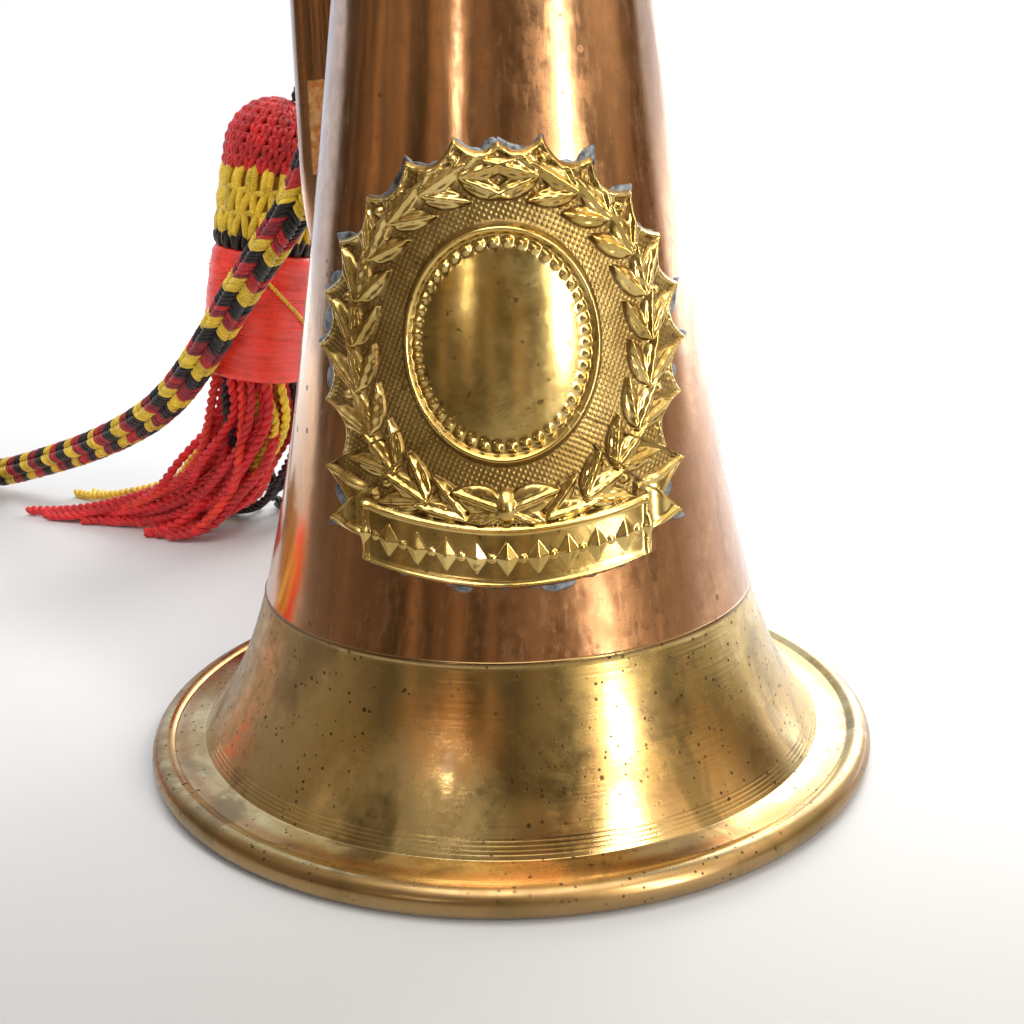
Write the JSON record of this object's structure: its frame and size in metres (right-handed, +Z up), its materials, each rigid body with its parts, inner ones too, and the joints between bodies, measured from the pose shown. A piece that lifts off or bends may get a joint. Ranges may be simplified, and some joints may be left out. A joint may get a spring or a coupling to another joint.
{
  "type": "bugle",
  "caption": "Duty bugle in copper and brass, tube wound twice beside a conical bell, with a plain wreath badge, a braided dress cord and tassels.",
  "frame": {"origin": "centre of the bell's rim, in the plane of the table that the bell stands on", "axes": "+Z up along the bell's axis towards the tube, -Y towards the badge, +Y towards the wound tube"},
  "size_m": [0.3346, 0.2616, 0.298],
  "materials": {
    "copper": "tarnished copper, hand rubbed",
    "brass_flare": "spun brass, polished and spotted",
    "brass_fittings": "worn brass",
    "brass_mouthpiece": "polished brass",
    "brass_badge": "stamped brass, rubbed bright on its high spots",
    "solder": "dull soft solder",
    "iron_wire": "plain wire",
    "cord_braid": "round braid in black, dark red and yellow",
    "black_thread": "twisted thread",
    "crochet": "crocheted thread in red, yellow and black rows",
    "red_thread": "silky red thread",
    "mould_wood": "turned softwood"
  },
  "bodies": {
    "root": {"bell_tube": "copper", "leadpipe": "copper", "lower_bow_small": "copper", "rear_tube_small": "copper", "upper_bow_small": "copper", "front_tube_middle": "copper", "lower_bow_large": "copper", "rear_tube_large": "copper", "upper_bow_large": "copper", "stay_web": "copper", "leadpipe_ferrule": "brass_fittings", "rear_small_lower_ferrule": "brass_fittings", "rear_small_upper_ferrule": "brass_fittings", "middle_upper_ferrule": "brass_fittings", "middle_lower_ferrule": "brass_fittings", "rear_large_lower_ferrule": "brass_fittings", "rear_large_upper_ferrule": "brass_fittings", "bell_ferrule": "brass_fittings", "mouthpiece_receiver": "brass_fittings", "stay_bell_upper": "brass_fittings", "stay_bell_lower": "brass_fittings", "stay_lead_middle": "brass_fittings", "stay_rear_upper": "brass_fittings", "stay_rear_lower": "brass_fittings", "upper_ring_lug": "brass_fittings", "lower_ring_lug": "brass_fittings", "bell_flare": "brass_flare", "rim_wire": "iron_wire", "badge_plate": "brass_badge", "badge_solder": "solder", "cord_lashing": "cord_braid", "cord_run": "cord_braid", "cord_tail": "cord_braid", "cord_coil": "cord_braid", "coil_tie": "black_thread", "tassel_cord": "black_thread", "tassel_a_mould": "mould_wood", "tassel_a_cover": "crochet", "tassel_a_whipping": "red_thread", "tassel_a_skirt": "red_thread", "tassel_b_mould": "mould_wood", "tassel_b_cover": "crochet", "tassel_b_whipping": "red_thread", "tassel_b_skirt": "red_thread"},
    "mouthpiece": {"mouthpiece": "brass_mouthpiece"},
    "upper_ring": {"upper_cord_ring": "brass_fittings"},
    "lower_ring": {"lower_cord_ring": "brass_fittings"}
  },
  "joints": [
    {"name": "mouthpiece_pull", "type": "slide", "parent": "root", "child": "mouthpiece", "axis": [0, 0, 1], "range_m": [0, 0.035]},
    {"name": "upper_ring_swing", "type": "hinge", "parent": "root", "child": "upper_ring", "pos_m": [0, 0.10391, 0.19], "axis": [1, 0, 0], "range_deg": [-8, 150]},
    {"name": "lower_ring_swing", "type": "hinge", "parent": "root", "child": "lower_ring", "pos_m": [0, 0.10318, 0.1], "axis": [1, 0, 0], "range_deg": [-8, 150]}
  ]
}
